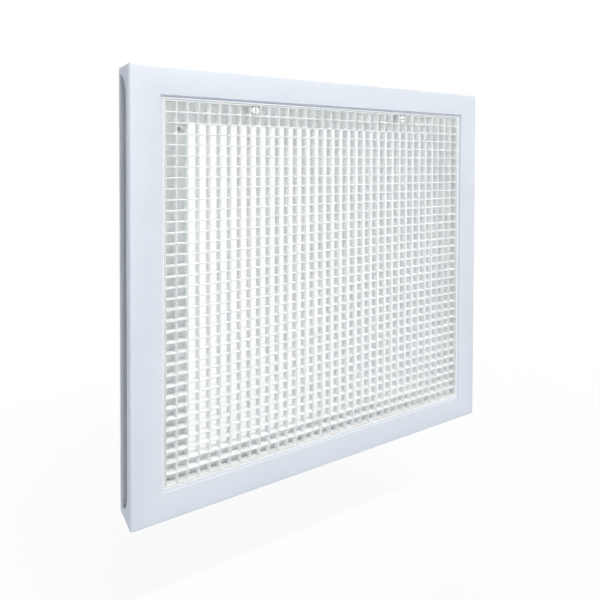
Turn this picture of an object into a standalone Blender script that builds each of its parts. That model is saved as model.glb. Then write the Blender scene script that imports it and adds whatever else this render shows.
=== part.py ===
"""Return air filter grille.

A square white plastic housing holds an egg-crate core that hinges down at its bottom edge for the filter.
Two quarter-turn fasteners in the top row of cells hold the core shut: each has a cross pin that drops
through a key slot in the housing's inner flange and turns behind it.

The frame: X to the right, Z up, the front faces -Y, and the origin is the centre of the housing's box.
"""

import math

import bmesh
import bpy
from mathutils import Matrix

# Egg-crate core
CELL_COUNT = 35
CELL_PITCH = 0.0127
BAR_THICKNESS = 0.0013
CORE_DEPTH = 0.0127
RIB_LAYER_GAP = 0.0001
CORE_REAR_CHAMFER = 0.0008

# Housing, from the core outwards and from the front to the rear
CORE_SIDE_GAP = 0.00085
LEDGE_WIDTH = 0.0039
BORDER_WIDTH = 0.03335
HOUSING_DEPTH = 0.052
LIP_DEPTH = 0.003
WALL = 0.003
EDGE_RADIUS = 0.003
LIP_EDGE_RADIUS = 0.0008
REAR_EDGE_CHAMFER = 0.001
FLANGE_CELLS = 2
FLANGE_THICKNESS = 0.0028
CORE_TO_FLANGE = 0.0014
REAR_FLANGE_THICKNESS = 0.004

# Long windows in the housing's four sides
SKIRT_DEPTH = 0.015
WINDOW_REAR_STRAIGHT = 0.003
POST_WIDTH = 0.009

# Fixing pillars, on cells counted from the corner, and ribs behind the flange
PILLAR_CELL_ACROSS = 1
PILLAR_CELL_DOWN = 2
PILLAR_RADIUS = 0.007
SCREW_HOLE_RADIUS = 0.0025
COUNTERSINK_RADIUS = 0.0048
PAD_TO_CORE = 0.0003
PILLAR_WEB_THICKNESS = 0.0024
RIB_SPACING_CELLS = 6
RIBS_EACH_SIDE = 5
RIB_THICKNESS = 0.002
RIB_REACH = 0.020
RIB_TO_REAR = 0.010

# Hinge pivots, moulded on the core
PIVOT_FROM_FRONT = 0.0026
PIVOT_FROM_BOTTOM = 0.0054
PIVOT_RADIUS = 0.0018
PIVOT_ENGAGEMENT = 0.0016
PIVOT_GAP = 0.0003
PIVOT_HOLE_END_GAP = 0.0004

# Quarter-turn fasteners
LATCH_CELLS_FROM_CENTRE = 9
HEAD_RADIUS = 0.0052
HEAD_RECESS = 0.0004
HEAD_HEIGHT = 0.0026
HEAD_CROWN = 0.0007
SLOT_WIDTH = 0.0012
SLOT_DEPTH = 0.0014
SHAFT_RADIUS = 0.0028
SHAFT_GAP = 0.0003
SEAT_GAP = 0.0003
BUSH_GAP = 0.0003
BUSH_CHAMFER = 0.0006
RING_THICKNESS = 0.0008
RING_RADIUS = 0.0045
GROOVE_DEPTH = 0.0005
CROSS_PIN_RADIUS = 0.0012
CROSS_PIN_LENGTH = 0.010
CROSS_PIN_HOLE_GAP = 0.0002
CROSS_PIN_FLANGE_GAP = 0.0005
SHAFT_BEYOND_PIN = 0.0008
KEY_SLOT_GAP = 0.0005

ROUND_STEPS = 24
ARC_STEPS = 8
EDGE_STEPS = 3
OVERLAP = 0.001

# What follows from the sizes above. A half is measured from the centre, a depth from the front face.
core_half = CELL_COUNT * CELL_PITCH / 2 + BAR_THICKNESS / 2
pocket_half = core_half + CORE_SIDE_GAP
opening_half = pocket_half + LEDGE_WIDTH
outer_half = opening_half + BORDER_WIDTH
flange_half = core_half - BAR_THICKNESS / 2 - FLANGE_CELLS * CELL_PITCH
core_back = LIP_DEPTH + CORE_DEPTH
flange_front = core_back + CORE_TO_FLANGE
flange_back = flange_front + FLANGE_THICKNESS
rear_flange_front = HOUSING_DEPTH - REAR_FLANGE_THICKNESS
window_corner_radius = rear_flange_front - WINDOW_REAR_STRAIGHT - SKIRT_DEPTH
rib_end = HOUSING_DEPTH - RIB_TO_REAR
pivot_depth = LIP_DEPTH + PIVOT_FROM_FRONT
pivot_z = -core_half + PIVOT_FROM_BOTTOM
latch_x = LATCH_CELLS_FROM_CENTRE * CELL_PITCH
latch_z = (CELL_COUNT - 1) * CELL_PITCH / 2
pillar_x = (CELL_COUNT - 1) * CELL_PITCH / 2 - PILLAR_CELL_ACROSS * CELL_PITCH
pillar_z = (CELL_COUNT - 1) * CELL_PITCH / 2 - PILLAR_CELL_DOWN * CELL_PITCH
cross_pin_depth = flange_back + CROSS_PIN_FLANGE_GAP + CROSS_PIN_RADIUS
shaft_end = cross_pin_depth + CROSS_PIN_RADIUS + SHAFT_BEYOND_PIN
head_front = LIP_DEPTH + HEAD_RECESS
head_back = head_front + HEAD_HEIGHT


def y_at(depth):
    """The Y of a depth behind the front face."""
    return depth - HOUSING_DEPTH / 2


# Helpers

def clear_scene():
    for old in list(bpy.data.objects):
        bpy.data.objects.remove(old, do_unlink=True)


def plastic(name, colour, roughness):
    material = bpy.data.materials.new(name)
    material.use_nodes = True
    shader = material.node_tree.nodes["Principled BSDF"]
    shader.inputs["Base Color"].default_value = (*colour, 1.0)
    shader.inputs["Roughness"].default_value = roughness
    shader.inputs["Metallic"].default_value = 0.0
    return material


def steel(name, colour, roughness):
    material = plastic(name, colour, roughness)
    material.node_tree.nodes["Principled BSDF"].inputs["Metallic"].default_value = 1.0
    return material


def make_object(name, bm, material=None, smooth_angle=None):
    """Writes the mesh to a new object, with its normals out."""
    bmesh.ops.remove_doubles(bm, verts=bm.verts, dist=1e-6)
    bmesh.ops.recalc_face_normals(bm, faces=bm.faces)
    mesh = bpy.data.meshes.new(name)
    bm.to_mesh(mesh)
    bm.free()
    if smooth_angle is not None:
        mesh.shade_smooth()
        mesh.set_sharp_from_angle(angle=smooth_angle)
    made = bpy.data.objects.new(name, mesh)
    bpy.context.scene.collection.objects.link(made)
    if material is not None:
        mesh.materials.append(material)
    return made


def combine(target, operation, bm, label):
    """Cuts the shape from the target, or joins it to the target, with a Boolean that stays on it."""
    tool = make_object(f"{target.name}_{label}", bm)
    tool.hide_render = True
    tool.display_type = "WIRE"
    tool.parent = target.parent
    tool.location = target.location
    modifier = target.modifiers.new(label, "BOOLEAN")
    modifier.operation = operation
    modifier.solver = "EXACT"
    modifier.object = tool


def add_prism(bm, outline, place, near, far):
    """A prism of a closed outline: place(a, b, c) turns an outline point and a distance into X, Y, Z."""
    ends = [[bm.verts.new(place(a, b, c)) for a, b in outline] for c in (near, far)]
    bm.faces.new(ends[0])
    bm.faces.new(reversed(ends[1]))
    count = len(outline)
    for i in range(count):
        j = (i + 1) % count
        bm.faces.new((ends[0][j], ends[0][i], ends[1][i], ends[1][j]))


def add_box(bm, low, high):
    size = [b - a for a, b in zip(low, high)]
    middle = [(a + b) / 2 for a, b in zip(low, high)]
    matrix = Matrix.Translation(middle) @ Matrix.Diagonal((*size, 1))
    bmesh.ops.create_cube(bm, size=1, matrix=matrix)


def arc(centre, radius, start, end, steps):
    """Points of an arc, by angles in degrees."""
    angles = [math.radians(start + (end - start) * i / steps) for i in range(steps + 1)]
    return [(centre[0] + radius * math.cos(a), centre[1] + radius * math.sin(a)) for a in angles]


def square_ring(profile, corner_radius=0.0):
    """Sweeps a closed profile of (half width, depth) points round the square, with mitred corners.

    The outermost points turn the corners on corner_radius, and points further in on as much less.
    """
    bm = bmesh.new()
    widest = max(half for half, _ in profile)
    steps = EDGE_STEPS if corner_radius else 0
    loops = []
    for half, depth in profile:
        radius = max(0.0, corner_radius - (widest - half))
        loop = []
        for quarter in range(4):
            for step in range(steps + 1):
                turn = math.pi / 2 * (quarter + (step / steps if steps else 0.5))
                middle = half - radius
                side_x = 1 if quarter in (0, 3) else -1
                side_z = 1 if quarter in (0, 1) else -1
                x = side_x * middle + radius * math.cos(turn)
                z = side_z * middle + radius * math.sin(turn)
                loop.append(bm.verts.new((x, y_at(depth), z)))
        loops.append(loop)
    count = len(loops[0])
    for i, loop in enumerate(loops):
        other = loops[(i + 1) % len(loops)]
        for j in range(count):
            k = (j + 1) % count
            bm.faces.new((loop[j], loop[k], other[k], other[j]))
    bmesh.ops.remove_doubles(bm, verts=bm.verts, dist=1e-6)
    bmesh.ops.dissolve_degenerate(bm, edges=bm.edges, dist=1e-6)
    return bm


def turned(profile, steps=ROUND_STEPS):
    """Spins an open profile of (radius, distance) points, whose ends lie on the axis, round the Y axis."""
    bm = bmesh.new()
    verts = [bm.verts.new((radius, distance, 0.0)) for radius, distance in profile]
    edges = [bm.edges.new(pair) for pair in zip(verts, verts[1:])]
    bmesh.ops.spin(
        bm, geom=verts + edges, cent=(0, 0, 0), axis=(0, 1, 0), angle=math.tau, steps=steps, use_merge=True
    )
    bmesh.ops.remove_doubles(bm, verts=bm.verts, dist=1e-6)
    bmesh.ops.dissolve_degenerate(bm, edges=bm.edges, dist=1e-6)
    return bm


def along_x(a, b, c):
    return (c, a, b)


def along_y(a, b, c):
    return (a, c, b)


def circle(radius, centre=(0.0, 0.0), steps=ROUND_STEPS):
    return arc(centre, radius, 0, 360 - 360 / steps, steps - 1)


def empty_at(name, location, parent=None):
    made = bpy.data.objects.new(name, None)
    made.empty_display_size = 0.02
    bpy.context.scene.collection.objects.link(made)
    made.parent = parent
    made.location = location
    return made


# Housing

def housing_section():
    """The closed section of the housing, as if it were solid: face, lip, ledge, pocket, flange, neck, rear."""
    front_arc = arc((outer_half - EDGE_RADIUS, EDGE_RADIUS), EDGE_RADIUS, -90, 0, EDGE_STEPS)
    lip_arc = arc((opening_half + LIP_EDGE_RADIUS, LIP_EDGE_RADIUS), LIP_EDGE_RADIUS, 180, 270, EDGE_STEPS)
    return [
        *lip_arc,
        *front_arc,
        (outer_half, HOUSING_DEPTH - REAR_EDGE_CHAMFER),
        (outer_half - REAR_EDGE_CHAMFER, HOUSING_DEPTH),
        (pocket_half, HOUSING_DEPTH),
        (pocket_half, flange_back),
        (flange_half, flange_back),
        (flange_half, flange_front),
        (pocket_half, flange_front),
        (pocket_half, LIP_DEPTH),
        (opening_half, LIP_DEPTH),
    ]


def hollow_section():
    """The hollow between the face plate, the neck, the rear flange and the outer side."""
    neck_outer = pocket_half + WALL
    lip_outer = opening_half + WALL
    return [
        (neck_outer, LIP_DEPTH + WALL),
        (lip_outer, LIP_DEPTH + WALL),
        (lip_outer, WALL),
        (outer_half - WALL, WALL),
        (outer_half - WALL, rear_flange_front),
        (neck_outer, rear_flange_front),
    ]


def window_outline():
    """Half length and depth of a side's window: straight at the front, round at both ends."""
    half = outer_half - POST_WIDTH
    radius = window_corner_radius
    centre_depth = SKIRT_DEPTH + radius
    right = arc((half - radius, centre_depth), radius, -90, 0, ARC_STEPS)
    left = arc((-half + radius, centre_depth), radius, 180, 270, ARC_STEPS)
    outline = [*left, *right, (half, rear_flange_front), (-half, rear_flange_front)]
    return [(along, y_at(depth)) for along, depth in outline]


def side_windows():
    bm = bmesh.new()
    near = outer_half - WALL - OVERLAP
    far = outer_half + OVERLAP
    for side in (-1, 1):
        add_prism(bm, window_outline(), lambda a, b, c: (side * c, b, a), near, far)
        add_prism(bm, window_outline(), lambda a, b, c: (a, b, side * c), near, far)
    return bm


def pillar_places():
    return [(x, z) for x in (-pillar_x, pillar_x) for z in (-pillar_z, pillar_z)]


def pillars():
    """Round screw pillars from a pad that the closed core rests against to the rear face."""
    bm = bmesh.new()
    for x, z in pillar_places():
        near = y_at(core_back + PAD_TO_CORE)
        add_prism(bm, circle(PILLAR_RADIUS, (x, z)), along_y, near, y_at(HOUSING_DEPTH))
    return bm


def pillar_webs():
    """A web from each pillar out to the neck."""
    bm = bmesh.new()
    for x, z in pillar_places():
        side = math.copysign(1, x)
        ends = sorted((x, side * (pocket_half + OVERLAP)))
        low = (ends[0], y_at(flange_back - OVERLAP), z - PILLAR_WEB_THICKNESS / 2)
        high = (ends[1], y_at(HOUSING_DEPTH - WALL), z + PILLAR_WEB_THICKNESS / 2)
        add_box(bm, low, high)
    return bm


def flange_ribs():
    """Three-cornered ribs between the back of the flange and the neck."""
    bm = bmesh.new()
    outline = [
        (pocket_half - RIB_REACH, y_at(flange_back - OVERLAP)),
        (pocket_half + OVERLAP, y_at(flange_back - OVERLAP)),
        (pocket_half + OVERLAP, y_at(rib_end)),
        (pocket_half - RIB_THICKNESS, y_at(rib_end)),
    ]
    for i in range(RIBS_EACH_SIDE):
        along = (i - (RIBS_EACH_SIDE - 1) / 2) * RIB_SPACING_CELLS * CELL_PITCH
        near = along - RIB_THICKNESS / 2
        far = along + RIB_THICKNESS / 2
        for side in (-1, 1):
            add_prism(bm, outline, lambda a, b, c: (side * a, b, c), near, far)
            add_prism(bm, outline, lambda a, b, c: (c, b, side * a), near, far)
    return bm


def screw_holes():
    """Countersunk holes through the pillars."""
    bm = bmesh.new()
    pad = core_back + PAD_TO_CORE
    sink = COUNTERSINK_RADIUS - SCREW_HOLE_RADIUS
    profile = [
        (0, y_at(pad - OVERLAP)),
        (COUNTERSINK_RADIUS, y_at(pad - OVERLAP)),
        (COUNTERSINK_RADIUS, y_at(pad)),
        (SCREW_HOLE_RADIUS, y_at(pad + sink)),
        (SCREW_HOLE_RADIUS, y_at(HOUSING_DEPTH + OVERLAP)),
        (0, y_at(HOUSING_DEPTH + OVERLAP)),
    ]
    for x, z in pillar_places():
        one = turned(profile)
        bmesh.ops.translate(one, verts=one.verts, vec=(x, 0, z))
        mesh = bpy.data.meshes.new("screw_hole")
        one.to_mesh(mesh)
        one.free()
        bm.from_mesh(mesh)
        bpy.data.meshes.remove(mesh)
    return bm


def key_outline(upright):
    """The key slot: a round hole for the shaft, crossed by a slot for the cross pin."""
    radius = SHAFT_RADIUS + KEY_SLOT_GAP
    reach = CROSS_PIN_LENGTH / 2 + KEY_SLOT_GAP
    half = CROSS_PIN_RADIUS + KEY_SLOT_GAP
    angle = math.degrees(math.asin(half / radius))
    above = arc((0, 0), radius, angle, 180 - angle, ARC_STEPS)
    below = arc((0, 0), radius, 180 + angle, 360 - angle, ARC_STEPS)
    points = [(reach, -half), (reach, half), *above, (-reach, half), (-reach, -half), *below]
    return [(b, a) for a, b in points] if upright else points


def key_slots():
    bm = bmesh.new()
    for side, upright in ((-1, True), (1, False)):
        outline = [(side * latch_x + a, latch_z + b) for a, b in key_outline(upright)]
        add_prism(bm, outline, along_y, y_at(flange_front - OVERLAP), y_at(flange_back + OVERLAP))
    return bm


def pivot_holes():
    bm = bmesh.new()
    outline = circle(PIVOT_RADIUS + PIVOT_GAP, (y_at(pivot_depth), pivot_z))
    end = pocket_half + PIVOT_ENGAGEMENT + PIVOT_HOLE_END_GAP
    for side in (-1, 1):
        near, far = sorted((side * (pocket_half - OVERLAP / 2), side * end))
        add_prism(bm, outline, along_x, near, far)
    return bm


def build_housing(material):
    housing = make_object(
        "housing", square_ring(housing_section(), EDGE_RADIUS), material, math.radians(35)
    )
    combine(housing, "DIFFERENCE", square_ring(hollow_section()), "hollow")
    combine(housing, "DIFFERENCE", side_windows(), "windows")
    combine(housing, "UNION", flange_ribs(), "flange_ribs")
    combine(housing, "UNION", pillar_webs(), "pillar_webs")
    combine(housing, "UNION", pillars(), "pillars")
    combine(housing, "DIFFERENCE", screw_holes(), "screw_holes")
    combine(housing, "DIFFERENCE", key_slots(), "key_slots")
    combine(housing, "DIFFERENCE", pivot_holes(), "pivot_holes")
    return housing


# Core

def core_rim():
    inner = core_half - BAR_THICKNESS
    return square_ring([
        (inner, LIP_DEPTH),
        (core_half, LIP_DEPTH),
        (core_half, core_back - CORE_REAR_CHAMFER),
        (core_half - CORE_REAR_CHAMFER, core_back),
        (inner, core_back),
    ])


def core_ribs(upright):
    """The inner ribs of one direction: upright ones in the front half of the depth, level ones in the rear."""
    bm = bmesh.new()
    middle = LIP_DEPTH + CORE_DEPTH / 2
    if upright:
        near, far = y_at(LIP_DEPTH), y_at(middle - RIB_LAYER_GAP / 2)
    else:
        near, far = y_at(middle + RIB_LAYER_GAP / 2), y_at(core_back)
    reach = core_half - BAR_THICKNESS / 2
    for i in range(1, CELL_COUNT):
        line = (i - CELL_COUNT / 2) * CELL_PITCH
        low, high = line - BAR_THICKNESS / 2, line + BAR_THICKNESS / 2
        if upright:
            add_box(bm, (low, near, -reach), (high, far, reach))
        else:
            add_box(bm, (-reach, near, low), (reach, far, high))
    return bm


def core_pivots():
    bm = bmesh.new()
    outline = circle(PIVOT_RADIUS, (y_at(pivot_depth), pivot_z))
    for side in (-1, 1):
        ends = (side * (core_half - BAR_THICKNESS / 2), side * (pocket_half + PIVOT_ENGAGEMENT))
        near, far = sorted(ends)
        add_prism(bm, outline, along_x, near, far)
    return bm


def build_core(material, hinge):
    core = make_object("egg_crate_core", core_rim(), material)
    core.parent = hinge
    core.location = -hinge.location
    combine(core, "UNION", core_ribs(True), "upright_ribs")
    combine(core, "UNION", core_ribs(False), "level_ribs")
    combine(core, "UNION", core_pivots(), "pivots")
    return core


# Quarter-turn fasteners, modelled about their own axis with the front face of the housing at y_at(0)

def bush_mesh():
    """The square bush that fills a cell behind the fastener's head."""
    half = CELL_PITCH / 2 - BAR_THICKNESS / 2 - BUSH_GAP
    front = head_back + SEAT_GAP
    bm = bmesh.new()
    add_box(bm, (-half, y_at(front), -half), (half, y_at(core_back), half))
    bmesh.ops.bevel(
        bm, geom=bm.edges[:], offset=BUSH_CHAMFER, segments=1, profile=0.5, affect="EDGES"
    )
    return bm


def stud_profile():
    crown = [(HEAD_RADIUS, y_at(head_front + HEAD_CROWN))]
    for i in range(1, 5):
        share = 1 - i / 4
        bulge = HEAD_CROWN * (1 - share * share)
        crown.append((HEAD_RADIUS * share, y_at(head_front + HEAD_CROWN - bulge)))
    groove_near = core_back + SEAT_GAP / 2
    groove_far = core_back + SEAT_GAP + RING_THICKNESS + SEAT_GAP / 2
    return [
        *reversed(crown),
        (HEAD_RADIUS, y_at(head_back)),
        (SHAFT_RADIUS, y_at(head_back)),
        (SHAFT_RADIUS, y_at(groove_near)),
        (SHAFT_RADIUS - GROOVE_DEPTH, y_at(groove_near)),
        (SHAFT_RADIUS - GROOVE_DEPTH, y_at(groove_far)),
        (SHAFT_RADIUS, y_at(groove_far)),
        (SHAFT_RADIUS, y_at(shaft_end - CROSS_PIN_RADIUS / 2)),
        (SHAFT_RADIUS - CROSS_PIN_RADIUS / 2, y_at(shaft_end)),
        (0, y_at(shaft_end)),
    ]


def ring_mesh():
    """The push-on ring in the shaft's groove, which keeps the stud in its bush."""
    near = y_at(core_back + SEAT_GAP)
    far = near + RING_THICKNESS
    inner = SHAFT_RADIUS - GROOVE_DEPTH / 2
    bm = bmesh.new()
    loops = [
        [bm.verts.new((a, y, b)) for a, b in circle(radius)]
        for radius, y in ((inner, near), (RING_RADIUS, near), (RING_RADIUS, far), (inner, far))
    ]
    for i, loop in enumerate(loops):
        other = loops[(i + 1) % len(loops)]
        for j in range(ROUND_STEPS):
            k = (j + 1) % ROUND_STEPS
            bm.faces.new((loop[j], loop[k], other[k], other[j]))
    return bm


def along_pin(a, b, c, upright):
    return (a, b, c) if upright else (c, b, a)


def cross_pin_mesh(upright, radius, length):
    """A round pin across the shaft, upright or level."""
    bm = bmesh.new()
    outline = circle(radius, (0, y_at(cross_pin_depth)), 16)
    add_prism(bm, outline, lambda a, b, c: along_pin(a, b, c, upright), -length / 2, length / 2)
    return bm


def driver_slot_mesh(upright):
    bm = bmesh.new()
    reach = HEAD_RADIUS + OVERLAP
    half = SLOT_WIDTH / 2
    near, far = y_at(head_front - OVERLAP), y_at(head_front + SLOT_DEPTH)
    if upright:
        add_box(bm, (-half, near, -reach), (half, far, reach))
    else:
        add_box(bm, (-reach, near, -half), (reach, far, half))
    return bm


def build_latch(side_name, side, upright, core_hinge, materials):
    """A fastener: its bush stays in the core, and the stud, ring and cross pin turn together."""
    place = (side * latch_x, 0, latch_z)
    bush = make_object(f"latch_bush_{side_name}", bush_mesh(), materials["bush"])
    bush.parent = core_hinge
    bush.location = [a - b for a, b in zip(place, core_hinge.location)]
    bore = bmesh.new()
    near, far = y_at(head_back), y_at(core_back + OVERLAP)
    add_prism(bore, circle(SHAFT_RADIUS + SHAFT_GAP), along_y, near, far)
    combine(bush, "DIFFERENCE", bore, "bore")

    turn = empty_at(f"latch_{side_name}_turn", bush.location, core_hinge)
    stud = make_object(
        f"latch_stud_{side_name}", turned(stud_profile()), materials["stud"], math.radians(35)
    )
    stud.parent = turn
    combine(stud, "DIFFERENCE", driver_slot_mesh(upright), "driver_slot")
    hole_radius = CROSS_PIN_RADIUS + CROSS_PIN_HOLE_GAP
    hole_length = 2 * (SHAFT_RADIUS + OVERLAP)
    combine(stud, "DIFFERENCE", cross_pin_mesh(upright, hole_radius, hole_length), "cross_hole")

    ring = make_object(f"latch_ring_{side_name}", ring_mesh(), materials["steel"], math.radians(35))
    ring.parent = turn
    pin = make_object(
        f"latch_cross_pin_{side_name}",
        cross_pin_mesh(upright, CROSS_PIN_RADIUS, CROSS_PIN_LENGTH),
        materials["steel"],
        math.radians(35),
    )
    pin.parent = turn


def main():
    clear_scene()
    housing_white = plastic("housing_white", (0.76, 0.80, 0.86), 0.42)
    core_white = plastic("core_white", (0.88, 0.89, 0.88), 0.45)
    materials = {
        "bush": plastic("bush_white", (0.86, 0.87, 0.86), 0.45),
        "stud": plastic("stud_white", (0.90, 0.90, 0.90), 0.35),
        "steel": steel("pin_steel", (0.62, 0.62, 0.60), 0.35),
    }
    build_housing(housing_white)
    core_hinge = empty_at("core_hinge", (0, y_at(pivot_depth), pivot_z))
    build_core(core_white, core_hinge)
    build_latch("left", -1, True, core_hinge, materials)
    build_latch("right", 1, False, core_hinge, materials)


main()
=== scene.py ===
"""Return air filter grille, dressed for rendering.

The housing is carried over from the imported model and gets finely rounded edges. The egg-crate core and the
quarter-turn fasteners are modelled here in full. Every piece has a procedural plastic or steel finish.
"""

import math

import bpy
from mathutils import Matrix, Vector


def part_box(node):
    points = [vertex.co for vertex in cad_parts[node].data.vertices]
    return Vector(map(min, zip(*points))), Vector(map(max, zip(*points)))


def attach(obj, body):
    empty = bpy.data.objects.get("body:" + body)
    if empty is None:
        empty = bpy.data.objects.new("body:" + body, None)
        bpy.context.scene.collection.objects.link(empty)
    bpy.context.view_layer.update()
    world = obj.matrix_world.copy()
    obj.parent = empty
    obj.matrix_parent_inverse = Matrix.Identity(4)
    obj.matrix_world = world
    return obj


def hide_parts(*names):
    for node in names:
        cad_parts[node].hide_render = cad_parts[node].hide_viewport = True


bl_info = {
    "name": "Return Air Filter Grille",
    "version": (1, 0, 0),
    "blender": (4, 5, 0),
    "location": "3D View > Sidebar > Grille",
    "description": "Models the egg-crate core and fasteners of a return air grille and finishes every piece",
    "category": "Object",
}

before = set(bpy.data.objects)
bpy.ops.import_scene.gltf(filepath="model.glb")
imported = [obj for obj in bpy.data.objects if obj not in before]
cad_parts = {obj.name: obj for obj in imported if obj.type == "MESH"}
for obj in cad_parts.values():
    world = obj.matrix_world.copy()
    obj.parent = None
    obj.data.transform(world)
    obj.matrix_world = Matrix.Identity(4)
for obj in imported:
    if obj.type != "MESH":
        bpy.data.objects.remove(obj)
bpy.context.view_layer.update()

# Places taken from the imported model
housing_low, housing_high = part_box("housing")
core_low, core_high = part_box("egg_crate_core")
stud_low, stud_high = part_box("latch_stud_left")
bush_low, bush_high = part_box("latch_bush_left")
ring_low, ring_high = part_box("latch_ring_left")
pin_low, pin_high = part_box("latch_cross_pin_left")
latch_x = (stud_low.x + stud_high.x) / 2
latch_z = (stud_low.z + stud_high.z) / 2

CELLS = 35
CORE_HALF = core_high.z
RIM_CHAMFER = 0.0008
PIVOT_DEPTH = 0.0026
PIVOT_FROM_BOTTOM = 0.0054
PIVOT_RADIUS = 0.0018

# The face's opening, where the ledge ends under the lip
OPENING_HALF = CORE_HALF + 0.00475

# Two places nearer than this count as one
CLOSE = 1e-5
# How far a cutting tool goes past what it cuts
OVERCUT = 0.001
# Edges sharper than this are rounded
SHARP_DEGREES = 40

DUST_COLOUR = (0.62, 0.60, 0.56)
# Painted shade: the dark colour mixed into the core's rib fronts, the bushes' front faces and the studs'
# slots
PAINTED_SHADE_COLOUR = (0.10, 0.10, 0.10)
# Painted shade: the grey that darkens the housing behind its side windows
PAINTED_SHADE_HOLLOW_COLOUR = (0.66, 0.66, 0.645)
# Over what distance one tone of the housing turns into the next
TONE_FADE = 0.001


# Sizes, finishes and stage settings

class GrilleSizes(bpy.types.PropertyGroup):
    cell_pitch: bpy.props.FloatProperty(
        name="Cell pitch", description="From one rib of the core to the next",
        default=0.0127, min=0.005, max=0.03, unit="LENGTH", precision=4,
    )
    rib_thickness: bpy.props.FloatProperty(
        name="Rib thickness", description="Thickness of the core's ribs at their front",
        default=0.0013, min=0.0005, max=0.003, unit="LENGTH", precision=4,
    )
    rib_edge: bpy.props.FloatProperty(
        name="Rib edge", description="Radius on the front edges of the ribs",
        default=0.00025, min=0.0, max=0.0006, unit="LENGTH", precision=5,
    )
    housing_edge: bpy.props.FloatProperty(
        name="Housing edge", description="Radius on the housing's sharp edges",
        default=0.0004, min=0.0, max=0.001, unit="LENGTH", precision=5,
    )
    slot_width: bpy.props.FloatProperty(
        name="Slot width", description="Width of the driver slot across a stud's head",
        default=0.0012, min=0.0005, max=0.003, unit="LENGTH", precision=4,
    )
    slot_depth: bpy.props.FloatProperty(
        name="Slot depth", description="Depth of the driver slot below the top of a stud's head",
        default=0.0014, min=0.0005, max=0.002, unit="LENGTH", precision=4,
    )


class GrilleFinishes(bpy.types.PropertyGroup):
    housing_colour: bpy.props.FloatVectorProperty(
        name="Housing", description="Colour of the housing's face and sides",
        subtype="COLOR", size=3, min=0, max=1, default=(0.72, 0.77, 0.83),
    )
    # Painted light: the inside is lighter than the face, standing in for the light that reaches the flange
    # through the cells
    painted_light_inside_colour: bpy.props.FloatVectorProperty(
        name="Housing inside", description="Colour of the housing's pocket, flange and neck",
        subtype="COLOR", size=3, min=0, max=1, default=(0.965, 0.975, 0.97),
    )
    core_colour: bpy.props.FloatVectorProperty(
        name="Core", description="Colour of the core's plastic",
        subtype="COLOR", size=3, min=0, max=1, default=(0.92, 0.94, 0.94),
    )
    fastener_colour: bpy.props.FloatVectorProperty(
        name="Fasteners", description="Colour of the studs and bushes",
        subtype="COLOR", size=3, min=0, max=1, default=(0.86, 0.87, 0.87),
    )
    steel_colour: bpy.props.FloatVectorProperty(
        name="Steel", description="Colour of the rings and cross pins",
        subtype="COLOR", size=3, min=0, max=1, default=(0.62, 0.62, 0.60),
    )


class GrilleStage(bpy.types.PropertyGroup):
    key_power: bpy.props.FloatProperty(
        name="Key lamp", description="Power of the long, slim lamp above and in front",
        default=116.0, min=0, unit="POWER",
    )
    front_power: bpy.props.FloatProperty(
        name="Front lamp", description="Power of the soft lamp in front", default=1.0, min=0, unit="POWER",
    )
    fill_power: bpy.props.FloatProperty(
        name="Fill lamp", description="Power of the soft lamp on the left", default=11.0, min=0, unit="POWER",
    )
    side_power: bpy.props.FloatProperty(
        name="Side lamp", description="Power of the soft lamp on the right", default=9.0, min=0, unit="POWER",
    )
    rear_power: bpy.props.FloatProperty(
        name="Rear lamp", description="Power of the soft lamp behind", default=27.0, min=0, unit="POWER",
    )
    sky: bpy.props.FloatProperty(
        name="Sky", description="Strength of the even light from above", default=0.14, min=0,
    )


# Modelling helpers

def start_fresh():
    """Leaves edit mode and deselects everything."""
    if bpy.context.mode != "OBJECT":
        bpy.ops.object.mode_set(mode="OBJECT")
    bpy.ops.object.select_all(action="DESELECT")


def work_on(piece):
    start_fresh()
    piece.select_set(True)
    bpy.context.view_layer.objects.active = piece


def name_piece(name):
    """Names the active object and its mesh."""
    piece = bpy.context.object
    piece.name = name
    piece.data.name = name
    return piece


def settle(piece):
    """Puts the piece's place into its mesh, so that its object sits at the origin."""
    work_on(piece)
    bpy.ops.object.transform_apply(location=True, rotation=True, scale=True)


def select_faces(piece, test):
    """In edit mode, selects the faces whose centre and normal pass the test."""
    bpy.ops.mesh.select_all(action="DESELECT")
    bpy.ops.object.mode_set(mode="OBJECT")
    for face in piece.data.polygons:
        face.select = test(face.center, face.normal)
    bpy.ops.object.mode_set(mode="EDIT")


def select_edges(piece, test):
    """In edit mode, selects the edges whose two ends pass the test."""
    bpy.ops.mesh.select_mode(type="EDGE")
    bpy.ops.mesh.select_all(action="DESELECT")
    bpy.ops.object.mode_set(mode="OBJECT")
    verts = piece.data.vertices
    for edge in piece.data.edges:
        edge.select = test(verts[edge.vertices[0]].co, verts[edge.vertices[1]].co)
    bpy.ops.object.mode_set(mode="EDIT")


def round_edges(piece, width, segments):
    """Rounds the piece's sharp edges."""
    work_on(piece)
    modifier = piece.modifiers.new("edges", "BEVEL")
    modifier.width = width
    modifier.segments = segments
    modifier.limit_method = "ANGLE"
    modifier.angle_limit = math.radians(SHARP_DEGREES)
    modifier.use_clamp_overlap = False
    bpy.ops.object.modifier_apply(modifier=modifier.name)


def add_cylinder(name, radius, length, place, axis, sides=64):
    """A closed cylinder along one of the axes, with its place in its mesh."""
    turn = {"X": (0, math.pi / 2, 0), "Y": (math.pi / 2, 0, 0), "Z": (0, 0, 0)}[axis]
    start_fresh()
    bpy.ops.mesh.primitive_cylinder_add(
        vertices=sides, radius=radius, depth=length, location=place, rotation=turn,
    )
    piece = name_piece(name)
    settle(piece)
    return piece


def add_box(name, size, place):
    """A closed box, with its place in its mesh."""
    start_fresh()
    bpy.ops.mesh.primitive_cube_add(size=1, location=place)
    piece = name_piece(name)
    piece.scale = size
    settle(piece)
    return piece


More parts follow.
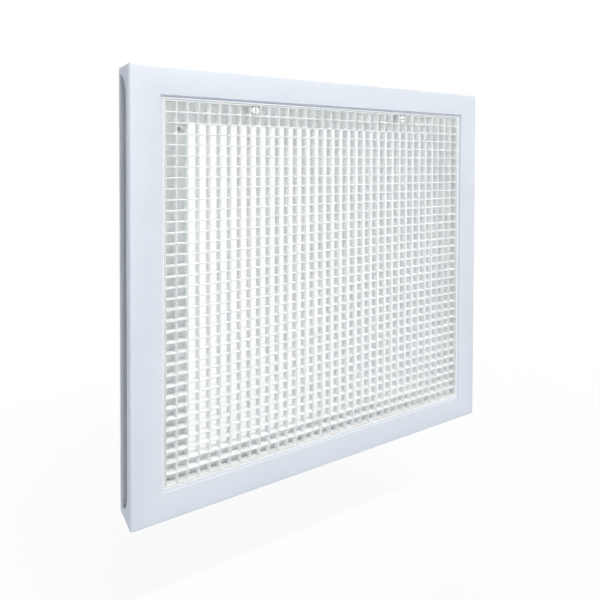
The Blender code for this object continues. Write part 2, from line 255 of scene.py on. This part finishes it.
def extend_back(distance, scale=1.0, centre=(0, 0, 0)):
    """Extrudes the selected face backwards and scales its new end about the fastener's axis."""
    bpy.ops.mesh.extrude_region_move(TRANSFORM_OT_translate={"value": (0, distance, 0)})
    if scale != 1.0:
        bpy.ops.transform.resize(value=(scale, 1, scale), center_override=centre)


def close_up(piece, smooth_degrees):
    """Merges doubles, turns the normals out and smooths the piece by angle."""
    work_on(piece)
    bpy.ops.object.mode_set(mode="EDIT")
    bpy.ops.mesh.select_all(action="SELECT")
    bpy.ops.mesh.remove_doubles(threshold=1e-6)
    bpy.ops.mesh.normals_make_consistent(inside=False)
    bpy.ops.object.mode_set(mode="OBJECT")
    bpy.ops.object.shade_smooth_by_angle(angle=math.radians(smooth_degrees))


def combine(piece, tool, operation="DIFFERENCE"):
    """Cuts the tool out of the piece, or adds it with UNION, and removes the tool."""
    work_on(piece)
    modifier = piece.modifiers.new("combine", "BOOLEAN")
    modifier.operation = operation
    modifier.solver = "EXACT"
    modifier.object = tool
    bpy.ops.object.modifier_apply(modifier=modifier.name)
    bpy.data.objects.remove(tool, do_unlink=True)


def finish_piece(piece, body, slot, material, *nodes):
    """Gives the piece its material and its body, and hides the imported nodes that it stands for."""
    piece.data.materials.clear()
    piece.data.materials.append(material)
    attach(piece, body)
    if nodes:
        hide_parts(*nodes)


# Materials

class Shading:
    """A short way to build one node material on Object coordinates."""

    def __init__(self, name):
        self.material = bpy.data.materials.new(name)
        self.material.use_nodes = True
        self.tree = self.material.node_tree
        self.shader = self.tree.nodes["Principled BSDF"]
        self.coordinates = self.add("ShaderNodeTexCoord").outputs["Object"]

    def add(self, kind, **values):
        """A new node with some of its settings."""
        node = self.tree.nodes.new(kind)
        for key, value in values.items():
            setattr(node, key, value)
        return node

    def link(self, source, target):
        self.tree.links.new(source, target)

    def axes(self, vector):
        """The X, Y and Z of a vector."""
        node = self.add("ShaderNodeSeparateXYZ")
        self.link(vector, node.inputs[0])
        return node.outputs

    def calculate(self, operation, *values):
        """The result of an operation on one or two values."""
        node = self.add("ShaderNodeMath", operation=operation)
        for index, value in enumerate(values):
            self.link(value, node.inputs[index])
        return node.outputs[0]

    def noise(self, scale, detail, roughness=0.55, stretch=(1, 1, 1)):
        """A cloudy pattern between zero and one."""
        mapping = self.add("ShaderNodeMapping")
        mapping.inputs["Scale"].default_value = stretch
        self.link(self.coordinates, mapping.inputs["Vector"])
        noise = self.add("ShaderNodeTexNoise")
        noise.inputs["Scale"].default_value = scale
        noise.inputs["Detail"].default_value = detail
        noise.inputs["Roughness"].default_value = roughness
        self.link(mapping.outputs["Vector"], noise.inputs["Vector"])
        return noise.outputs["Fac"]

    def spread(self, value, low, high, to_low, to_high):
        """Maps a value from one range to another."""
        node = self.add("ShaderNodeMapRange")
        node.inputs["From Min"].default_value = low
        node.inputs["From Max"].default_value = high
        node.inputs["To Min"].default_value = to_low
        node.inputs["To Max"].default_value = to_high
        self.link(value, node.inputs["Value"])
        return node.outputs["Result"]

    def band(self, value, low, high, fade):
        """One between two values and zero outside them."""
        rising = self.spread(value, low, low + fade, 0.0, 1.0)
        falling = self.spread(value, high - fade, high, 1.0, 0.0)
        return self.calculate("MULTIPLY", rising, falling)

    def mix(self, factor, first, second):
        """Mixes two colours, each a socket or three numbers."""
        node = self.add("ShaderNodeMix", data_type="RGBA")
        self.link(factor, node.inputs[0])
        for index, colour in ((6, first), (7, second)):
            if isinstance(colour, bpy.types.NodeSocket):
                self.link(colour, node.inputs[index])
            else:
                node.inputs[index].default_value = (*colour, 1.0)
        return node.outputs[2]

    def bump(self, height, strength, distance, below=None):
        """A bumpy normal, on top of another one where there is one."""
        node = self.add("ShaderNodeBump")
        node.inputs["Strength"].default_value = strength
        node.inputs["Distance"].default_value = distance
        self.link(height, node.inputs["Height"])
        if below is not None:
            self.link(below, node.inputs["Normal"])
        return node.outputs["Normal"]


def housing_colour_painted_light_and_shade(made, face, inside):
    """The face's colour, a lighter inside colour from the ledge inwards that is painted light, and a grey of
    painted shade behind the windows.
    """
    place = made.axes(made.coordinates)
    reach = made.calculate("MAXIMUM", *(made.calculate("ABSOLUTE", place[axis]) for axis in ("X", "Z")))
    # Painted light: nearer the lip than this the ledge keeps the face's colour where the top lip's shadow
    # falls, and further in it takes the lighter inside colour
    ledge = OPENING_HALF - 0.0024
    painted_light_share = made.spread(reach, ledge - TONE_FADE, ledge, 1.0, 0.0)
    # The painted shade lies between the neck and the outer wall, and between the face and the rear flange
    neck, wall = OPENING_HALF - 0.0022, housing_high.x - 0.0025
    front, rear = housing_low.y + 0.0035, housing_high.y - 0.0005
    across = made.band(reach, neck, wall, TONE_FADE)
    through = made.band(place["Y"], front, rear, TONE_FADE)
    hollow_shade_mask = made.calculate("MULTIPLY", across, through)
    return made.mix(hollow_shade_mask, made.mix(painted_light_share, face, inside), PAINTED_SHADE_HOLLOW_COLOUR)


def with_painted_shade(made, colour, start, end, share):
    """Mixes a share of a dark colour into the colour between two depths: painted shade."""
    depth = made.axes(made.coordinates)["Y"]
    starting = made.spread(depth, start, start + 0.0006, 0.0, share)
    ending = made.spread(depth, end - 0.0002, end + 0.0002, 1.0, 0.0)
    return made.mix(made.calculate("MULTIPLY", starting, ending), colour, PAINTED_SHADE_COLOUR)


def moulded_plastic(
    name, colour, roughness, cloud=0.03, grain=0.06, dust=0.05, glow=0.0, inside=None, painted_shade=None,
):
    """Satin moulded plastic: faint flow clouds, fine spark texture, and a trace of dust on what faces up.

    The housing has a lighter inside colour as well, which is painted light. The painted shade is a start, an
    end and a share: a dark colour mixed in between two depths.
    """
    made = Shading(name)
    shader = made.shader
    base = colour
    if inside is not None:
        base = housing_colour_painted_light_and_shade(made, colour, inside)
    if painted_shade is not None:
        base = with_painted_shade(made, base, *painted_shade)
    flow = made.spread(made.noise(9.0, 4.0, 0.6, (1, 1, 1.6)), 0.35, 0.65, cloud, 0.0)
    tone = made.mix(flow, base, (0, 0, 0))
    speck = made.spread(made.noise(900.0, 2.0), 0.62, 0.75, 0.0, 0.025)
    tone = made.mix(speck, tone, (0, 0, 0))

    geometry = made.add("ShaderNodeNewGeometry")
    upward = made.spread(made.axes(geometry.outputs["Normal"])["Z"], 0.6, 1.0, 0.0, dust)
    patch = made.spread(made.noise(60.0, 5.0, 0.7), 0.4, 0.7, 0.2, 1.0)
    tone = made.mix(made.calculate("MULTIPLY", upward, patch), tone, DUST_COLOUR)
    made.link(tone, shader.inputs["Base Color"])

    gloss = made.spread(made.noise(140.0, 4.0, 0.6), 0.3, 0.7, roughness - 0.05, roughness + 0.07)
    made.link(gloss, shader.inputs["Roughness"])
    shader.inputs["IOR"].default_value = 1.5
    shader.inputs["Subsurface Weight"].default_value = glow
    shader.inputs["Subsurface Radius"].default_value = (1.0, 1.0, 1.0)
    shader.inputs["Subsurface Scale"].default_value = 0.0035

    fine = made.bump(made.noise(2600.0, 2.0), grain, 0.0002)
    wave = made.bump(made.noise(38.0, 2.0, 0.4), 0.05, 0.0012, fine)
    made.link(wave, shader.inputs["Normal"])
    return made.material


def plated_steel(name, colour):
    """Dull zinc-plated steel with fine drawn lines and cloudy plating."""
    made = Shading(name)
    shader = made.shader
    cloud = made.spread(made.noise(420.0, 4.0, 0.65), 0.35, 0.65, 0.0, 1.0)
    tone = made.mix(cloud, tuple(channel * 0.8 for channel in colour), colour)
    made.link(tone, shader.inputs["Base Color"])
    shader.inputs["Metallic"].default_value = 1.0
    gloss = made.spread(made.noise(700.0, 3.0), 0.3, 0.7, 0.28, 0.46)
    made.link(gloss, shader.inputs["Roughness"])
    lines = made.bump(made.noise(1500.0, 2.0, 0.5, (1, 12, 1)), 0.15, 0.0002)
    made.link(lines, shader.inputs["Normal"])
    return made.material


# Operators

class GRILLE_OT_housing(bpy.types.Operator):
    """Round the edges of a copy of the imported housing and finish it"""

    bl_idname = "grille.housing"
    bl_label = "Housing"

    def execute(self, context):
        finishes = context.scene.grille_finishes
        work_on(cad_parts["housing"])
        bpy.ops.object.duplicate()
        housing = name_piece("housing_moulding")
        bpy.ops.object.mode_set(mode="EDIT")
        bpy.ops.mesh.select_all(action="SELECT")
        bpy.ops.mesh.remove_doubles(threshold=2e-5)
        bpy.ops.mesh.dissolve_limited(angle_limit=math.radians(1))
        bpy.ops.object.mode_set(mode="OBJECT")
        round_edges(housing, context.scene.grille_sizes.housing_edge, 2)
        bpy.ops.object.shade_smooth_by_angle(angle=math.radians(30))
        # The housing's lighter inside colour is painted light
        material = moulded_plastic(
            "housing_plastic", tuple(finishes.housing_colour), 0.42,
            inside=tuple(finishes.painted_light_inside_colour),
        )
        finish_piece(housing, "frame", "housing_white", material, "housing")
        return {"FINISHED"}


class GRILLE_OT_core(bpy.types.Operator):
    """Model the egg-crate core: a grid of square cells through its whole depth, with two hinge pivots"""

    bl_idname = "grille.core"
    bl_label = "Egg-crate core"

    def grid(self, sizes):
        """The rims of all the cells, at the front."""
        span = CELLS * sizes.cell_pitch
        start_fresh()
        bpy.ops.mesh.primitive_grid_add(
            x_subdivisions=CELLS, y_subdivisions=CELLS, size=span,
            location=(0, core_low.y, 0), rotation=(math.radians(90), 0, 0),
        )
        core = name_piece("egg_crate_grid")
        settle(core)
        if len(core.data.polygons) != CELLS * CELLS:
            raise RuntimeError(f"the grid has {len(core.data.polygons)} cells, not {CELLS * CELLS}")
        bpy.ops.object.mode_set(mode="EDIT")
        bpy.ops.mesh.select_mode(type="FACE")
        bpy.ops.mesh.select_all(action="SELECT")
        bpy.ops.mesh.inset(thickness=sizes.rib_thickness / 2, use_individual=True)
        bpy.ops.mesh.delete(type="FACE")
        for axis in (0, 2):
            select_edges(core, lambda a, b: min(abs(a[axis]), abs(b[axis])) > span / 2 - CLOSE)
            value = [1.0, 1.0, 1.0]
            value[axis] = CORE_HALF / (span / 2)
            bpy.ops.transform.resize(value=value, center_override=(0, core_low.y, 0))
        return core

    def execute(self, context):
        sizes = context.scene.grille_sizes
        core = self.grid(sizes)
        back = core_high.y
        bpy.ops.mesh.select_all(action="SELECT")
        bpy.ops.mesh.extrude_region_move(TRANSFORM_OT_translate={"value": (0, back - core_low.y, 0)})
        bpy.ops.mesh.select_all(action="SELECT")
        bpy.ops.mesh.normals_make_consistent(inside=False)

        def outer_rear(a, b):
            rear = min(a.y, b.y) > back - CLOSE
            return rear and any(min(abs(a[i]), abs(b[i])) > CORE_HALF - CLOSE for i in (0, 2))

        select_faces(core, lambda centre, normal: abs(normal.y) < 0.5)
        bpy.ops.mesh.region_to_loop()
        bpy.ops.object.mode_set(mode="OBJECT")
        verts = core.data.vertices
        for edge in core.data.edges:
            a, b = (verts[i].co for i in edge.vertices)
            edge.select = edge.select and not outer_rear(a, b)
        bpy.ops.object.mode_set(mode="EDIT")
        bpy.ops.mesh.bevel(offset=sizes.rib_edge, segments=2, affect="EDGES", clamp_overlap=True)
        select_edges(core, outer_rear)
        bpy.ops.mesh.bevel(offset=RIM_CHAMFER, segments=2, affect="EDGES", clamp_overlap=True)
        bpy.ops.object.mode_set(mode="OBJECT")

        pivot_end = core_high.x
        pivot_start = CORE_HALF - sizes.rib_thickness / 2
        for side in (-1, 1):
            middle = side * (pivot_start + pivot_end) / 2
            place = (middle, core_low.y + PIVOT_DEPTH, PIVOT_FROM_BOTTOM - CORE_HALF)
            pivot = add_cylinder("pivot", PIVOT_RADIUS, pivot_end - pivot_start, place, "X", 32)
            combine(core, pivot, "UNION")
        close_up(core, 40)

        finishes = context.scene.grille_finishes
        # Painted shade: a fifth of a dark colour on the ribs' front faces and rounded front edges
        material = moulded_plastic(
            "core_plastic", tuple(finishes.core_colour), 0.45, cloud=0.02, grain=0.05, dust=0.03, glow=1.0,
            painted_shade=(core_low.y - 0.001, core_low.y + 0.0005, 0.2),
        )
        finish_piece(core, "core", "core_white", material, "egg_crate_core")
        return {"FINISHED"}


class GRILLE_OT_fasteners(bpy.types.Operator):
    """Model the quarter-turn fasteners: slotted studs in square bushes, with push-on rings and cross pins"""

    bl_idname = "grille.fasteners"
    bl_label = "Fasteners"

    SHAFT_RADIUS = 0.0028
    BORE_RADIUS = 0.0031
    SEAT_GAP = 0.0003
    GROOVE_DEPTH = 0.0005
    PIN_HOLE_RADIUS = 0.0014
    CROWN_RADIUS = 0.0008
    TIP_CHAMFER = 0.0006
    BUSH_CORNER = 0.0006
    SLIT_WIDTH = 0.0005
    SLIT_LENGTH = 0.007
    STUD_EDGE = 0.0001
    BUSH_EDGE = 0.00015
    RING_EDGE = 0.00012
    PIN_EDGE = 0.00025

    def stud(self, sizes):
        radius = (stud_high.x - stud_low.x) / 2
        front, head_back, end = stud_low.y, bush_low.y - self.SEAT_GAP, stud_high.y
        axis = (latch_x, 0, latch_z)
        shaft = self.SHAFT_RADIUS
        stud = add_cylinder(
            "stud_left", radius, head_back - front, (latch_x, (front + head_back) / 2, latch_z), "Y", 96,
        )
        bpy.ops.object.mode_set(mode="EDIT")
        select_edges(stud, lambda a, b: max(a.y, b.y) < front + CLOSE)
        bpy.ops.mesh.bevel(offset=self.CROWN_RADIUS, segments=5, affect="EDGES")
        bpy.ops.mesh.select_mode(type="FACE")
        select_faces(stud, lambda centre, normal: normal.y > 0.9)
        groove = ring_low.y - self.SEAT_GAP / 2, ring_high.y + self.SEAT_GAP / 2
        narrow = (shaft - self.GROOVE_DEPTH) / shaft
        extend_back(0, shaft / radius, axis)
        extend_back(groove[0] - head_back)
        extend_back(0, narrow, axis)
        extend_back(groove[1] - groove[0])
        extend_back(0, 1 / narrow, axis)
        extend_back(end - self.TIP_CHAMFER - groove[1])
        extend_back(self.TIP_CHAMFER, (shaft - self.TIP_CHAMFER) / shaft, axis)
        bpy.ops.object.mode_set(mode="OBJECT")

        depth = sizes.slot_depth + OVERCUT
        slot_place = (latch_x, front + sizes.slot_depth - depth / 2, latch_z)
        combine(stud, add_box("slot", (sizes.slot_width, depth, 2 * (radius + OVERCUT)), slot_place))
        pin_place = (latch_x, (pin_low.y + pin_high.y) / 2, latch_z)
        length = 2 * (shaft + OVERCUT)
        combine(stud, add_cylinder("hole", self.PIN_HOLE_RADIUS, length, pin_place, "Z", 32))
        round_edges(stud, self.STUD_EDGE, 2)
        close_up(stud, 35)
        return stud

    def bush(self):
        size = bush_high - bush_low
        middle = (bush_low + bush_high) / 2
        bush = add_box("bush_left", size, middle)
        bpy.ops.object.mode_set(mode="EDIT")
        bpy.ops.mesh.select_all(action="SELECT")
        bpy.ops.mesh.bevel(offset=self.BUSH_CORNER, segments=3, affect="EDGES")
        bpy.ops.object.mode_set(mode="OBJECT")
        length = size.y + 2 * OVERCUT
        combine(bush, add_cylinder("bore", self.BORE_RADIUS, length, (latch_x, middle.y, latch_z), "Y"))
        round_edges(bush, self.BUSH_EDGE, 2)
        close_up(bush, 35)
        return bush

    def ring(self):
        radius = (ring_high.x - ring_low.x) / 2
        depth = ring_high.y - ring_low.y
        place = (latch_x, (ring_low.y + ring_high.y) / 2, latch_z)
        inner = self.SHAFT_RADIUS - self.GROOVE_DEPTH / 2
        through = depth + 2 * OVERCUT
        ring = add_cylinder("ring_left", radius, depth, place, "Y")
        combine(ring, add_cylinder("bore", inner, through, place, "Y"))
        for turn in (0, 60, 120):
            slit = add_box("slit", (self.SLIT_WIDTH, through, self.SLIT_LENGTH), place)
            work_on(slit)
            bpy.ops.object.mode_set(mode="EDIT")
            bpy.ops.mesh.select_all(action="SELECT")
            bpy.ops.transform.rotate(value=math.radians(turn), orient_axis="Y", center_override=place)
            bpy.ops.object.mode_set(mode="OBJECT")
            combine(ring, slit)
        round_edges(ring, self.RING_EDGE, 2)
        close_up(ring, 35)
        return ring

    def pin(self):
        size = pin_high - pin_low
        pin = add_cylinder("pin_left", size.x / 2, size.z, (pin_low + pin_high) / 2, "Z", 48)
        round_edges(pin, self.PIN_EDGE, 3)
        close_up(pin, 35)
        return pin

    def copy_right(self, piece, turned):
        """A copy on the right-hand axis, turned a quarter where its slot or pin lies level there."""
        work_on(piece)
        bpy.ops.object.duplicate()
        copy = name_piece(piece.name.replace("left", "right"))
        bpy.ops.object.mode_set(mode="EDIT")
        bpy.ops.mesh.select_all(action="SELECT")
        if turned:
            bpy.ops.transform.rotate(
                value=math.radians(90), orient_axis="Y", center_override=(latch_x, 0, latch_z),
            )
        bpy.ops.transform.translate(value=(-2 * latch_x, 0, 0))
        bpy.ops.object.mode_set(mode="OBJECT")
        return copy

    def execute(self, context):
        finishes = context.scene.grille_finishes
        # Painted shade: nearly half a dark colour on the bushes' front faces, around the studs' heads
        bush_plastic = moulded_plastic(
            "bush_plastic", tuple(finishes.fastener_colour), 0.45, cloud=0.02, grain=0.05, dust=0.03,
            painted_shade=(bush_low.y - 0.0006, bush_low.y + 0.001, 0.45),
        )
        # Painted shade: over half a dark colour in the studs' slots and on their heads' sides behind the
        # crown
        stud_plastic = moulded_plastic(
            "stud_plastic", tuple(finishes.fastener_colour), 0.34, cloud=0.015, grain=0.03, dust=0.03,
            painted_shade=(stud_low.y + 0.0006, bush_low.y, 0.55),
        )
        steel = plated_steel("pin_plating", tuple(finishes.steel_colour))
        sizes = context.scene.grille_sizes
        for left, node, moving, slot, material, turned in (
            (self.bush(), "latch_bush", False, "bush_white", bush_plastic, False),
            (self.stud(sizes), "latch_stud", True, "stud_white", stud_plastic, True),
            (self.ring(), "latch_ring", True, "pin_steel", steel, False),
            (self.pin(), "latch_cross_pin", True, "pin_steel", steel, True),
        ):
            for side, piece in (("left", left), ("right", self.copy_right(left, turned))):
                body = f"latch_{side}" if moving else "core"
                finish_piece(piece, body, slot, material, f"{node}_{side}")
        return {"FINISHED"}


# The photograph's viewpoint: the camera stands to the left and above the grille's middle, and looks nearly
# level. The centre pixel is where it points in the photograph.
CAMERA_PLACE = (-0.4024, housing_low.y - 0.6873, 0.1574)
CAMERA_TURN = 36.96
CAMERA_PITCH = -1.31
CAMERA_ROLL = 0.43
FOCAL_PIXELS = 581.0
CENTRE_PIXEL = (404.0, 172.0)
IMAGE_PIXELS = 600
SENSOR_MM = 36.0

# The grille hangs on a wall. Its opened core swings down past the housing's foot, and the floor lies below.
FLOOR_BELOW = 0.21
FLOOR_SIZE = 16
FLOOR_COLOUR = (0.74, 0.79, 0.87, 1)
# How far the floor keeps its shadow, and how white it looks at both ends of that stretch
SHADOW_REACH = (0.5, 1.3)
SHADOW_WHITE = (0.90, 1.0)
# Heights in the sky, from 0 straight down to 1 straight up, and the light's colour there
SKY_RAMP = ((0.35, (0.29, 0.31, 0.34, 1)), (0.75, (0.90, 0.95, 1.0, 1)))
# Each lamp's name, power setting, size, place and colour. They all point at the grille's middle.
LAMPS = (
    ("key_lamp", "key_power", (1.6, 0.12), (0.0, -2.6, 2.65), (1.0, 0.955, 0.91)),
    ("front_lamp", "front_power", (1.2, 1.2), (-0.3, -3.2, 0.3), (0.92, 0.96, 1.0)),
    ("fill_lamp", "fill_power", (1.5, 1.5), (-2.1, -0.5, 1.1), (0.86, 0.92, 1.0)),
    ("side_lamp", "side_power", (1.5, 1.5), (2.1, 0.35, 0.8), (1.0, 1.0, 1.0)),
    ("rear_lamp", "rear_power", (1.8, 1.4), (0.4, 1.1, 2.1), (1.0, 1.0, 1.0)),
)


def background_rays(tree):
    """One for the rays that see the white background: from the camera, a reflection or a glass."""
    path = tree.nodes.new("ShaderNodeLightPath")
    share = path.outputs["Is Camera Ray"]
    for ray in ("Is Glossy Ray", "Is Transmission Ray"):
        either = tree.nodes.new("ShaderNodeMath")
        either.operation = "MAXIMUM"
        tree.links.new(share, either.inputs[0])
        tree.links.new(path.outputs[ray], either.inputs[1])
        share = either.outputs[0]
    return share


class GRILLE_OT_stage(bpy.types.Operator):
    """Set up the floor, lamps, sky and camera"""

    bl_idname = "grille.stage"
    bl_label = "Stage"

    def lamp(self, name, power, size, place, colour):
        data = bpy.data.lights.new(name, "AREA")
        data.energy = power
        data.shape = "RECTANGLE"
        data.size, data.size_y = size
        data.color = colour
        made = bpy.data.objects.new(name, data)
        bpy.context.scene.collection.objects.link(made)
        made.location = place
        made.visible_camera = False
        made.rotation_euler = (-Vector(place)).to_track_quat("-Z", "Y").to_euler()

    def floor(self):
        start_fresh()
        bpy.ops.mesh.primitive_plane_add(size=FLOOR_SIZE, location=(0, 0, housing_low.z - FLOOR_BELOW))
        floor = name_piece("floor")
        made = Shading("pale_floor")
        made.tree.nodes.remove(made.shader)
        output = made.tree.nodes["Material Output"]
        diffuse = made.add("ShaderNodeBsdfDiffuse")
        diffuse.inputs["Color"].default_value = FLOOR_COLOUR
        glow = made.add("ShaderNodeEmission")
        distance = made.add("ShaderNodeVectorMath", operation="LENGTH")
        made.link(made.coordinates, distance.inputs[0])
        white = made.spread(distance.outputs["Value"], *SHADOW_REACH, *SHADOW_WHITE)
        blend = made.add("ShaderNodeMixShader")
        made.link(made.calculate("MULTIPLY", background_rays(made.tree), white), blend.inputs[0])
        made.link(diffuse.outputs[0], blend.inputs[1])
        made.link(glow.outputs[0], blend.inputs[2])
        made.link(blend.outputs[0], output.inputs["Surface"])
        floor.data.materials.append(made.material)
        settle(floor)

    def sky(self, strength):
        world = bpy.data.worlds.new("soft_sky")
        bpy.context.scene.world = world
        world.use_nodes = True
        tree = world.node_tree
        tree.nodes.clear()
        output = tree.nodes.new("ShaderNodeOutputWorld")
        seen = tree.nodes.new("ShaderNodeBackground")
        seen.inputs["Color"].default_value = (1, 1, 1, 1)
        lighting = tree.nodes.new("ShaderNodeBackground")
        lighting.inputs["Strength"].default_value = strength
        coordinates = tree.nodes.new("ShaderNodeTexCoord")
        split = tree.nodes.new("ShaderNodeSeparateXYZ")
        tree.links.new(coordinates.outputs["Generated"], split.inputs[0])
        ramp = tree.nodes.new("ShaderNodeValToRGB")
        for element, (position, colour) in zip(ramp.color_ramp.elements, SKY_RAMP):
            element.position = position
            element.color = colour
        half = tree.nodes.new("ShaderNodeMapRange")
        half.inputs["From Min"].default_value = -1.0
        half.inputs["From Max"].default_value = 1.0
        tree.links.new(split.outputs["Z"], half.inputs["Value"])
        tree.links.new(half.outputs["Result"], ramp.inputs["Fac"])
        tree.links.new(ramp.outputs["Color"], lighting.inputs["Color"])
        blend = tree.nodes.new("ShaderNodeMixShader")
        tree.links.new(background_rays(tree), blend.inputs[0])
        tree.links.new(lighting.outputs[0], blend.inputs[1])
        tree.links.new(seen.outputs[0], blend.inputs[2])
        tree.links.new(blend.outputs[0], output.inputs["Surface"])

    def camera(self):
        data = bpy.data.cameras.new("viewpoint")
        camera = bpy.data.objects.new("viewpoint", data)
        bpy.context.scene.collection.objects.link(camera)
        data.sensor_width = SENSOR_MM
        data.lens = FOCAL_PIXELS / IMAGE_PIXELS * SENSOR_MM
        data.shift_x = (IMAGE_PIXELS / 2 - CENTRE_PIXEL[0]) / IMAGE_PIXELS
        data.shift_y = (CENTRE_PIXEL[1] - IMAGE_PIXELS / 2) / IMAGE_PIXELS
        data.clip_start, data.clip_end = 0.01, 60
        camera.location = CAMERA_PLACE
        level = Matrix.Rotation(math.radians(90), 4, "X")
        turn = Matrix.Rotation(math.radians(-CAMERA_TURN), 4, "Z")
        pitch = Matrix.Rotation(math.radians(CAMERA_PITCH), 4, "X")
        roll = Matrix.Rotation(math.radians(CAMERA_ROLL), 4, "Z")
        camera.rotation_euler = (turn @ level @ pitch @ roll).to_euler()
        bpy.context.scene.camera = camera

    def execute(self, context):
        stage = context.scene.grille_stage
        self.floor()
        self.sky(stage.sky)
        for name, power, size, place, colour in LAMPS:
            self.lamp(name, getattr(stage, power), size, place, colour)
        self.camera()
        scene = context.scene
        scene.view_settings.view_transform = "Standard"
        # The light in the deep white cells comes from many reflections
        scene.cycles.max_bounces = 24
        scene.cycles.diffuse_bounces = 12
        return {"FINISHED"}


class GRILLE_PT_panel(bpy.types.Panel):
    """Sizes, finishes and the steps that build the grille"""

    bl_idname = "GRILLE_PT_panel"
    bl_label = "Return Air Grille"
    bl_space_type = "VIEW_3D"
    bl_region_type = "UI"
    bl_category = "Grille"

    def draw(self, context):
        scene = context.scene
        for group in (scene.grille_sizes, scene.grille_finishes, scene.grille_stage):
            box = self.layout.box()
            for name in group.__annotations__:
                box.prop(group, name)
        for step in STEPS:
            self.layout.operator(step.bl_idname)


GROUPS = (
    ("grille_sizes", GrilleSizes), ("grille_finishes", GrilleFinishes), ("grille_stage", GrilleStage),
)
STEPS = (GRILLE_OT_housing, GRILLE_OT_core, GRILLE_OT_fasteners, GRILLE_OT_stage)


def register():
    for name, group in GROUPS:
        bpy.utils.register_class(group)
        setattr(bpy.types.Scene, name, bpy.props.PointerProperty(type=group))
    for step in STEPS:
        bpy.utils.register_class(step)
    bpy.utils.register_class(GRILLE_PT_panel)


def unregister():
    bpy.utils.unregister_class(GRILLE_PT_panel)
    for step in reversed(STEPS):
        bpy.utils.unregister_class(step)
    for name, group in reversed(GROUPS):
        delattr(bpy.types.Scene, name)
        bpy.utils.unregister_class(group)


def main():
    register()
    bpy.ops.grille.housing()
    bpy.ops.grille.core()
    bpy.ops.grille.fasteners()
    bpy.ops.grille.stage()


if __name__ == "__main__":
    main()
